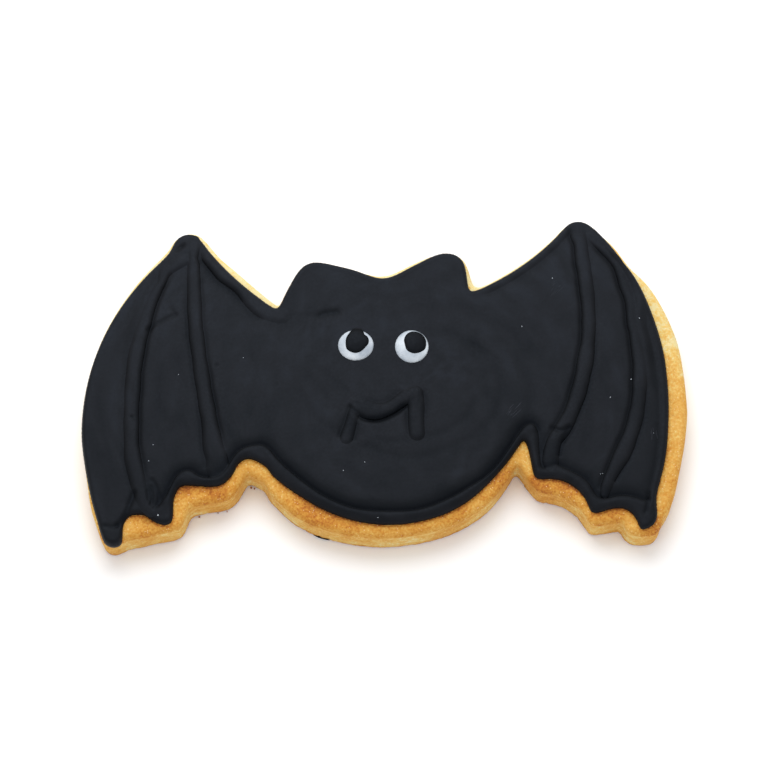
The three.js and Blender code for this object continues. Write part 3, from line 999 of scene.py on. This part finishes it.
def biscuit_top(outline, icing_edge, fine=0.3, coarse=1.2):
    """Points and triangles of the browned upper surface, fewer where icing hides them."""
    rows = [outline.moved_in(row) for row in BISCUIT_ROWS]
    margin = outline.grid(fine)
    margin = margin[outline.depth(margin) > max(BISCUIT_ROWS) + fine * 0.5]
    margin = margin[icing_edge.depth(margin) < HIDDEN]
    inner = outline.grid(coarse)
    inner = inner[icing_edge.depth(inner) > HIDDEN + coarse * 0.5]
    points, faces = fill([outline], [*(row[outline.contains(row)] for row in rows), margin, inner])
    depth = outline.depth(points)
    height = biscuit_height(depth)
    sunk = crumb(raised(points, height), 14) * np.clip(depth / 0.5, 0, 1) * 0.6
    return raised(points, height - sunk), faces


def underside(outline):
    """Points and triangles of the flat pitted underside."""
    grid = outline.grid(0.7)
    points, faces = fill([outline], [grid[outline.depth(grid) > 0.3]])
    pits = 0.30 * np.clip(clouds(points, 1.6, 3, seed=31) - 0.25, 0, 0.5)
    pits *= np.clip(outline.distance(points) / 0.5, 0, 1)
    return raised(points, pits), faces


def make_biscuit(outline, icing_edge, material):
    """The cut-out: a sandy wall, a rounded browned top edge, and a flat pitted underside."""
    skin = outline.points
    count = len(skin)
    outward = closed_normals(skin)
    wall = np.linspace(BASE_ROUND, WALL_TOP, 1 + round((WALL_TOP - BASE_ROUND) / WALL_STEP))
    rows = [wall_row(skin, outward, height) for height in (*FOOT_ROWS, *wall)]
    top, top_faces = biscuit_top(outline, icing_edge)
    under, under_faces = underside(Outline(rows[0][:, :2]))

    # The top's outline is the last row, and the underside's is the first one.
    last_row = (len(rows) - 1) * count
    under_start = last_row + len(top)
    faces = tube(count, last_row + count)
    faces += [tuple(last_row + face) for face in top_faces]
    for face in under_faces:
        faces.append(tuple(i if i < count else under_start + i - count for i in face[::-1]))
    vertices = [*np.vstack(rows), *top[count:], *under[count:]]
    places = np.clip(vertices, *(np.array(corner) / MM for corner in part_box("biscuit")))
    piece = make_object("biscuit_baked", places, faces, material)

    bake_and_light = bake_and_light_colour(places, slice(last_row + count, under_start), icing_edge)
    patchy = 0.20 * clouds(places[under_start:], 8, 4, seed=32)
    bake_and_light[under_start:] = UNDERSIDE_BROWN + patchy
    paint(piece, "browning_and_light", bake_and_light)
    return piece


# ---- Materials ----


class Shader:
    """A material whose nodes are added one call at a time."""

    def __init__(self, name):
        self.material = bpy.data.materials.new(name)
        self.material.use_nodes = True
        self.tree = self.material.node_tree

    def add(self, kind, output, links, **values):
        """A new node's output. Links are sockets or plain values by input."""
        node = self.tree.nodes.new("ShaderNode" + kind)
        for name, value in values.items():
            setattr(node, name, value)
        self.feed(node, links)
        return node.outputs[output]

    def feed(self, node, links):
        for name, value in links.items():
            socket = node.inputs[name]
            if isinstance(value, bpy.types.NodeSocket):
                self.tree.links.new(value, socket)
            else:
                socket.default_value = value

    def finished(self, links, normal=None):
        """The material, with these inputs for its surface."""
        if normal:
            links["Normal"] = normal
        self.feed(self.tree.nodes["Principled BSDF"], links)
        return self.material

    def places(self):
        """Coordinates in millimetres."""
        links = {0: self.add("TexCoord", "Object", {}), 1: (1 / MM, 1 / MM, 1 / MM)}
        return self.add("VectorMath", 0, links, operation="MULTIPLY")

    def attribute(self, name):
        return self.add("Attribute", "Fac", {}, attribute_name=name)

    def noise(self, places, size, detail=3, roughness=0.5):
        links = {"Vector": places, "Scale": 1 / size, "Detail": detail, "Roughness": roughness}
        return self.add("TexNoise", "Fac", links)

    def cells(self, places, size):
        return self.add("TexVoronoi", "Distance", {"Vector": places, "Scale": 1 / size})

    def ramp(self, value, stops):
        """Colours or grey levels against a value, as (position, colour) pairs."""
        output = self.add("ValToRGB", "Color", {"Fac": value})
        elements = output.node.color_ramp.elements
        while len(elements) < len(stops):
            elements.new(0.5)
        for element, (position, colour) in zip(elements, stops):
            element.position = position
            element.color = colour if isinstance(colour, tuple) else (colour, colour, colour, 1)
        return output

    def spread(self, value, *limits):
        """A value from between the first two limits, moved to between the last two."""
        names = ("From Min", "From Max", "To Min", "To Max")
        return self.add("MapRange", "Result", {"Value": value, **dict(zip(names, limits))})

    def sum(self, a, b, operation="ADD"):
        return self.add("Math", 0, {0: a, 1: b}, operation=operation)

    def times(self, a, b):
        return self.sum(a, b, "MULTIPLY")

    def mix(self, share, a, b):
        return self.add("Mix", 2, {0: share, 6: a, 7: b}, data_type="RGBA")

    def bump(self, height, distance, strength):
        links = {"Height": height, "Distance": distance * MM, "Strength": strength}
        return self.add("Bump", "Normal", links)


def rgb(*levels):
    """A colour given as it looks on a screen, from 0 to 255."""
    return (*((c / 3294.6) if c <= 10 else ((c / 255 + 0.055) / 1.055) ** 2.4 for c in levels), 1)


def black_icing():
    shader = Shader("black_royal_icing")
    places = shader.places()
    cloud = shader.noise(places, 7, 4, 0.55)
    fine = shader.noise(places, 0.5)
    # The tone attribute darkens the icing with painted shade and lightens it with painted sheen
    # towards the head.
    tone = shader.sum(shader.attribute("tone"), shader.spread(cloud, 0.3, 0.7, -0.05, 0.05))
    colour = shader.ramp(tone, [
        (0.0, rgb(3, 3, 4)), (0.3, rgb(13, 13, 14)), (0.5, rgb(21, 21, 23)),
        (0.75, rgb(29, 31, 36)), (1.0, rgb(42, 47, 56)),
    ])
    pores = shader.spread(shader.cells(places, 0.9), 0, 0.12)
    height = shader.sum(shader.times(fine, 0.5), shader.times(pores, 0.5))
    return shader.finished({
        "Base Color": colour,
        "Roughness": shader.spread(fine, 0.3, 0.7, 0.50, 0.62),
        "Specular IOR Level": 0.12,
        "Specular Tint": (0.64, 0.78, 1.0, 1),
    }, shader.bump(height, 0.02, 0.6))


def white_icing():
    shader = Shader("white_royal_icing")
    places = shader.places()
    cloud = shader.noise(places, 2.5)
    return shader.finished({
        "Base Color": shader.ramp(cloud, [(0.3, rgb(152, 162, 173)), (0.7, rgb(200, 207, 214))]),
        "Roughness": shader.spread(cloud, 0.3, 0.7, 0.32, 0.45),
        "Specular IOR Level": 0.5,
        "Subsurface Weight": 0.1,
        "Subsurface Radius": (1, 0.9, 0.8),
        "Subsurface Scale": 0.0006,
    }, shader.bump(shader.noise(places, 0.4), 0.015, 0.5))


def baked_shortbread():
    shader = Shader("baked_shortbread")
    places = shader.places()
    # The browning attribute also carries painted shade along the front of the icing and painted
    # light on the back of the top edge.
    bake_and_light = shader.attribute("browning_and_light")
    grain = shader.noise(places, 0.45, 4, 0.6)
    blotch = shader.noise(places, 2.4, 4, 0.6)
    reach = shader.spread(bake_and_light, 0, 0.4, 0.1, 0.3)
    bake_and_light = shader.sum(bake_and_light, shader.times(shader.spread(grain, 0.25, 0.75, -1, 1), reach))
    bake_and_light = shader.sum(bake_and_light, shader.spread(blotch, 0.3, 0.7, -0.10, 0.10))
    colour = shader.ramp(bake_and_light, [
        (0.0, rgb(219, 202, 148)), (0.1, rgb(218, 184, 106)), (0.25, rgb(211, 162, 80)),
        (0.5, rgb(199, 140, 54)), (0.75, rgb(177, 108, 36)), (1.0, rgb(136, 74, 26)),
    ])
    crystals = shader.ramp(shader.cells(places, 0.55), [(0.0, 1.0), (0.2, 0.0)])
    chosen = shader.ramp(shader.noise(places, 0.8, 1), [(0.44, 0.0), (0.52, 1.0)])
    sparkle = shader.times(crystals, chosen)
    height = shader.sum(shader.times(grain, 0.6), shader.times(shader.cells(places, 0.35), 0.4))
    return shader.finished({
        "Base Color": shader.mix(shader.times(sparkle, 0.8), colour, rgb(252, 236, 198)),
        "Roughness": shader.spread(sparkle, 0, 1, 0.82, 0.35),
        "Specular IOR Level": 0.3,
        "Subsurface Weight": 0.08,
        "Subsurface Radius": (1, 0.55, 0.25),
        "Subsurface Scale": 0.0008,
    }, shader.bump(height, 0.13, 0.9))


def plain(name, colour, roughness, shine):
    links = {"Base Color": colour, "Roughness": roughness, "Specular IOR Level": shine}
    return Shader(name).finished(links)


# ---- Small things on the cookie ----

# White specks of sugar on the icing, as (x, y, length), from the piping's centre.
SUGAR = [
    (-38, 0.65, 0.28), (-42.7, -13.3, 0.3), (-43.5, -16.5, 0.34), (-25.75, 3.7, 0.26),
    (-41.7, -27.2, 0.55), (-3.4, -18, 0.3), (-7.4, -19.5, 0.32), (33.7, 18.4, 0.36),
    (27.3, 8.5, 0.36), (49.7, 9.3, 0.42), (47.3, -2.9, 0.4), (43.1, -6.5, 0.38),
    (50.7, -13.9, 0.2), (40.2, -21.7, 0.24), (40.6, -21.6, 0.2), (-1.3, -29, 0.28),
]
# Groups of faint scrapes on the icing, as (x, y, direction, count, spread, length).
SCUFFS = [
    (24.8, -8.9, 0.9, 9, 1.2, 2.8), (34.3, 16.3, 0.82, 7, 1.4, 2.4),
    (50.7, -14, 1.55, 6, 0.9, 1.6),
]
# Toasted crumbs at the foot of the wall, as (x, y, size).
CRUMBS = [
    (-24.9, -19.6, 0.9), (-24.3, -19.8, 0.7), (-23.7, -19.5, 1.1), (-23.2, -19.4, 0.7),
    (-22.5, -19.4, 1), (-22.1, -19.6, 0.6), (-34.7, -25.1, 0.8), (-31.2, -24.4, 0.5),
    (-29.5, -24.2, 0.5),
]
SMEAR_SPAN = (-14.2, -10.9)  # left and right ends of a streak of icing at the front of the base
SMEAR_RADIUS = 0.17
SMEAR_HEIGHT = 0.3


def trees_of(pieces):
    graph = bpy.context.evaluated_depsgraph_get()
    return [BVHTree.FromObject(piece, graph) for piece in pieces]


def resting_on(trees, x, y):
    """Height of the highest surface at a place."""
    above, down = Vector((x * MM, y * MM, 1)), Vector((0, 0, -1))
    hits = [tree.ray_cast(above, down)[0] for tree in trees]
    return max((hit.z / MM for hit in hits if hit), default=0)


def smear(name, path, radius, height, material, sides=8):
    """A thin streak of icing along a path, tapered at both ends."""
    vertices = []
    for i, (place, (dx, dy)) in enumerate(zip(path, unit(np.gradient(path, axis=0)))):
        reach = radius * math.sqrt(max(0.02, math.sin(math.pi * i / (len(path) - 1))))
        for j in range(sides):
            turn = 2 * math.pi * j / sides
            x, y = place + reach * math.cos(turn) * np.array((-dy, dx))
            vertices.append((x, y, height + reach * 0.9 * math.sin(turn)))
    count = len(vertices)
    ends = [tuple(reversed(range(sides))), tuple(range(count - sides, count))]
    return make_object(name, vertices, tube(sides, count) + ends, material)


def lump(size, seed):
    """Vertices and faces of one irregular grain of this (length, width, height)."""
    mesh = bmesh.new()
    bmesh.ops.create_icosphere(mesh, subdivisions=2, radius=0.5)
    for vertex in mesh.verts:
        bulge = 1 + 0.35 * noise.noise(vertex.co * 2.2 + Vector((seed * 3.7, seed, 0)))
        vertex.co = Vector(c * s for c, s in zip(vertex.co * bulge, size))
    vertices = [tuple(vertex.co) for vertex in mesh.verts]
    faces = [tuple(v.index for v in face.verts) for face in mesh.faces]
    mesh.free()
    return vertices, faces


def grains(name, items, trees, material, lift=0.2):
    """One piece made of grains. Items are (place, size, turn), and each lies on what is there."""
    vertices, faces = [], []
    for i, ((x, y), size, turn) in enumerate(items):
        shape, sides = lump(size, i + 1)
        height = resting_on(trees, x, y) + size[2] * lift
        start = len(vertices)
        c, s = math.cos(turn), math.sin(turn)
        vertices += [(x + c * a - s * b, y + s * a + c * b, height + h) for a, b, h in shape]
        faces += [tuple(start + j for j in side) for side in sides]
    return make_object(name, vertices, faces, material)


# ---- The cookie ----

# How far in each row of points beside an edge is.
RIM_ROWS = (0.03, 0.1, 0.2, 0.34, 0.5)
BEAD_ROWS = (0.03, 0.09, 0.18)
EYE_ROWS = (0.03, 0.09, 0.18, 0.3)
PUPIL_ROWS = (0.03, 0.08, 0.16, 0.27)

FLAT_STEP = 0.3
MOUTH_DARKER = 0.1  # in tone, than the ribs
FLAT_INSET = 0.9  # how far the flat icing's edge is hidden under the bead

# How far pieces are sunk into what carries them, and how much lower their bodies end.
FLAT_SUNK = 0.2
RIM_SUNK = 0.3
BEAD_SUNK = 0.012
BEAD_BODY = 0.9
EYE_SUNK = 0.06
EYE_BODY = 0.6
PUPIL_SUNK = 0.11
PUPIL_BODY = 0.35
NECK_DROP = 0.24  # how much further a pupil sinks off the eye

black = black_icing()
white = white_icing()
shortbread = baked_shortbread()

biscuit_section = section("biscuit", BISCUIT_CUT)[0]
biscuit_edge = Outline(eased_out(rounded(biscuit_section, WALL_STEP), BISCUIT_PUSHES))
ring_outer, ring_inner = section("icing_outline", ICING_CUT)
icing_edge = Outline(eased_out(rounded(ring_outer, OUTLINE_STEP), ICING_PUSHES))
groove = Outline(rerouted(rounded(ring_inner, OUTLINE_STEP), GROOVE_LINES))
beads = {node: bead_for(node, spec) for node, spec in PIPED_LINES.items()}
icing = Icing(biscuit_edge, icing_edge, groove, beads)


def steady(height):
    return lambda places: flat(places, height)


def under_edge(places):
    return icing_foot(biscuit_edge.depth(places)) - RIM_SUNK


def bead_surface(node):
    """The height of a piped line, which blends into the icing and the earlier lines under it."""
    order = list(beads)

    def top_at(places):
        height = icing.surface(places)
        for other in order[: order.index(node) + 1]:
            bead = FLOOD_LEVEL - BEAD_DEPTH + beads[other].top(places) + marks(places)
            height = blended(bead, height)
        return height - BEAD_SUNK

    return top_at


def on_eye(edge):
    """What a pupil lies on, which is lower off the eye, where its neck sinks into the black."""

    def base(places):
        depth = edge.depth(places)
        off = NECK_DROP * ease(0.3 - depth)
        return FLOOD_LEVEL - PUPIL_SUNK + EYE_RISE * crown(depth, EYE_ROUND, EYE_DEEPEST) - off

    return base


def pupil_tone(edge):
    """Darker than the flat icing on the eye, and the same off it."""
    rise = PLAIN_TONE - PUPIL_TONE
    return lambda places: PUPIL_TONE + rise * ease((0.2 - edge.depth(places)) / 0.7)


made = {"biscuit": make_biscuit(biscuit_edge, icing_edge, shortbread)}
flat_edge = Outline(resample(icing_edge.moved_in(FLAT_INSET), FLAT_STEP))
made["icing_flood"] = cover(
    "icing_flat", [flat_edge], spacing=FLAT_STEP, rows=[], rounds=1, material=black,
    top_at=icing.level, floor_at=steady(BISCUIT_TOP - FLAT_SUNK), tone_at=icing.tone,
)
made["icing_outline"] = cover(
    "icing_piped_edge", [icing_edge, groove], spacing=OUTLINE_STEP, rows=RIM_ROWS, rounds=2,
    material=black, top_at=icing.rim, floor_at=under_edge, tone_at=icing.tone,
)
for node, bead in beads.items():
    darker = 0 if node.startswith("wing") else MOUTH_DARKER
    made[node] = cover(
        node + "_piped", [bead.outline(0.16)], spacing=0.17, rows=BEAD_ROWS, rounds=1,
        material=black, top_at=bead_surface(node), floor_at=steady(FLOOD_LEVEL - BEAD_BODY),
        tone_at=lambda places, darker=darker: icing.tone(places) - darker,
    )
eyes = {}
for side in PUPILS:
    eyes[side] = slimmed(section("eye_" + side, PIPING_CUT)[0], 0.15, EYE_SLIMMER)
    made["eye_" + side] = domed(
        "eye_white_" + side, eyes[side], spacing=0.16, rows=EYE_ROWS, material=white,
        base_at=steady(FLOOD_LEVEL - EYE_SUNK), rise=EYE_RISE, round_over=EYE_ROUND, drop=EYE_BODY,
    )
for side, shape in PUPILS.items():
    edge = slimmed(piped(shape), 0.12, -PUPIL_FULLER)
    made["pupil_" + side] = domed(
        "pupil_dot_" + side, edge, spacing=0.13, rows=PUPIL_ROWS, material=black,
        base_at=on_eye(eyes[side]), rise=PUPIL_RISE, round_over=PUPIL_ROUND, drop=PUPIL_BODY,
        tone_at=pupil_tone(eyes[side]),
    )

for node, piece in made.items():
    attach(piece, "root")
    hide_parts(node)

on_icing = trees_of([piece for node, piece in made.items() if node != "biscuit"])
turns = random.Random(SEED)


def placed(x, y):
    return piped([(x, y)])[0]


flecks = []
for x, y, length in SUGAR:
    size = (0.62 * length, 0.42 * length, 0.32 * length)
    flecks.append((placed(x, y), size, turns.uniform(0, 3)))
scrapes = []
for x, y, turn, count, spread, length in SCUFFS:
    for _ in range(count):
        place = placed(x + turns.uniform(-spread, spread) * 0.7, y + turns.uniform(-spread, spread))
        size = (length * turns.uniform(0.2, 1), turns.uniform(0.06, 0.12), 0.04)
        scrapes.append((place, size, turn + turns.uniform(-0.16, 0.16)))
crumbs = []
for x, y, size in CRUMBS:
    crumbs.append((placed(x, y), (0.5 * size, 0.4 * size, 0.4 * size), turns.uniform(0, 3)))
front = [p for p in biscuit_edge.points if SMEAR_SPAN[0] < p[0] < SMEAR_SPAN[1] and p[1] < -15]

scuff = plain("pale_scuff", rgb(37, 40, 47), 0.75, 0.2)
specks = grains("sugar_specks", flecks, on_icing, white)
scuffs = grains("scuff_marks", scrapes, on_icing, scuff)
toasted = grains("base_crumbs", crumbs, [], shortbread, lift=0.62)
streak = smear("icing_smear", np.array(front), SMEAR_RADIUS, SMEAR_HEIGHT, black)
paint(toasted, "browning_and_light", 0.95)
paint(streak, "tone", 0.06)
extras = {specks: "white_icing", scuffs: "black_icing", toasted: "biscuit", streak: "black_icing"}
for piece, slot in extras.items():
    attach(piece, "root")

# ---- Floor, light and camera ----

quad = ((-1, -1), (1, -1), (1, 1), (-1, 1))
corners = [(x * FLOOR_REACH, y * FLOOR_REACH, FLOOR_LEVEL) for x, y in quad]
floor = make_object("floor", corners, [(0, 1, 2, 3)], plain("pale_floor", FLOOR_COLOUR, 0.9, 0.1))

scene = bpy.context.scene
lamp_data = bpy.data.lights.new("soft_key", "AREA")
lamp_data.shape = "DISK"
lamp_data.size = KEY_SIZE * MM
lamp_data.energy = KEY_POWER
lamp_data.color = KEY_COLOUR
lamp = add_object("soft_key", lamp_data)
lamp.location = Vector(KEY_PLACE) * MM
lamp.rotation_euler = Vector(KEY_PLACE).to_track_quat("Z", "Y").to_euler()

world = bpy.data.worlds.new("studio")
world.use_nodes = True
world.node_tree.nodes["Background"].inputs["Color"].default_value = (1, 1, 1, 1)
world.node_tree.nodes["Background"].inputs["Strength"].default_value = SKY_POWER
scene.world = world
scene.view_settings.view_transform = "Standard"

camera_data = bpy.data.cameras.new("camera")
camera_data.sensor_width = 36
camera_data.lens = CAMERA_LENS
camera = add_object("camera", camera_data)
across, up = math.radians(CAMERA_AZIMUTH), math.radians(CAMERA_ELEVATION)
back = Vector((math.sin(across) * math.cos(up), -math.cos(across) * math.cos(up), math.sin(up)))
camera.location = (Vector(CAMERA_AIM) + back * CAMERA_DISTANCE) * MM
camera.rotation_euler = back.to_track_quat("Z", "Y").to_euler()
bpy.context.scene.camera = camera
